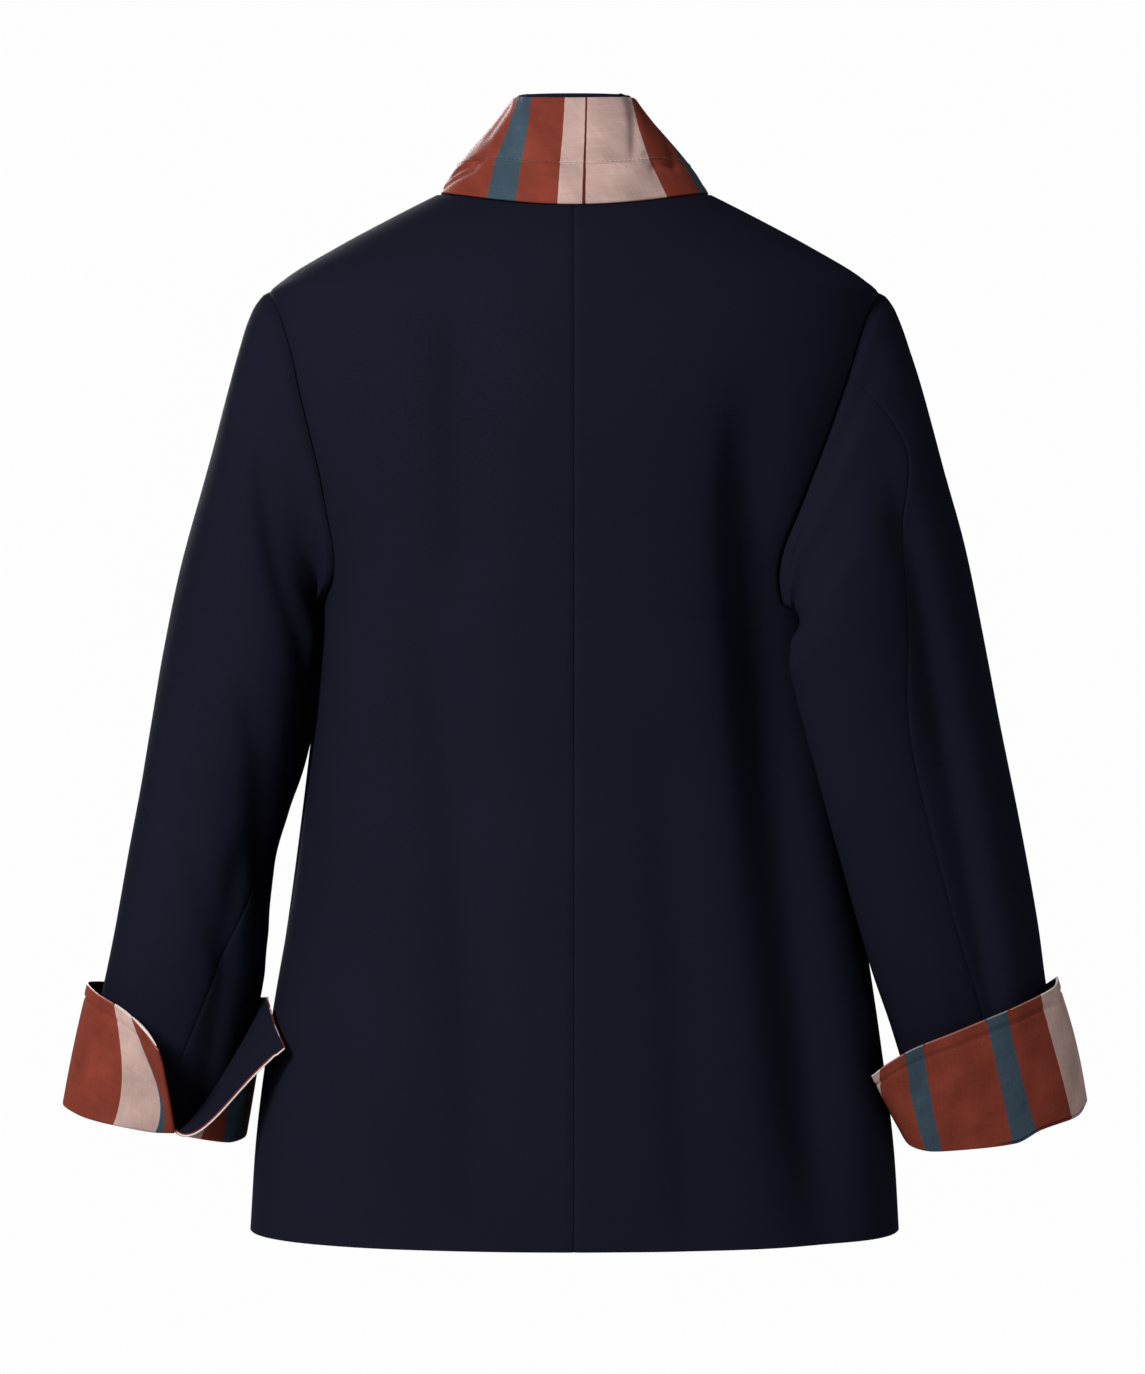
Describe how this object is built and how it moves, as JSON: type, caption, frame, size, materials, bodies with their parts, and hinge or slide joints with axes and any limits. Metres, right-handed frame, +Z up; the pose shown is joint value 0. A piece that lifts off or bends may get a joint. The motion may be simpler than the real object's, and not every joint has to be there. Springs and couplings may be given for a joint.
{
  "type": "blazer",
  "caption": "Hollow single-breasted blazer as worn, with its striped collar turned up and striped cuffs turned back",
  "frame": {"origin": "midway between the two points where the shoulder seams meet the neck, where a hanger or a stand holds it", "axes": "+Z up; the front faces -Y and the back +Y; the wearer's left is +X"},
  "size_m": [0.7096, 0.2786, 0.7779],
  "materials": {
    "navy_suiting": "matt",
    "striped_satin": "satin",
    "button_horn": "polished"
  },
  "bodies": {
    "root": {"back_left": "navy_suiting", "back_right": "navy_suiting", "front_left": "navy_suiting", "front_right": "navy_suiting", "lapel_left": "navy_suiting", "lapel_right": "navy_suiting", "top_sleeve_left": "navy_suiting", "top_sleeve_right": "navy_suiting", "under_sleeve_left": "navy_suiting", "under_sleeve_right": "navy_suiting", "collar_stand": "striped_satin", "under_collar": "striped_satin", "upper_collar": "navy_suiting", "cuff_left": "striped_satin", "cuff_right": "striped_satin", "front_button": "button_horn"}
  },
  "joints": []
}
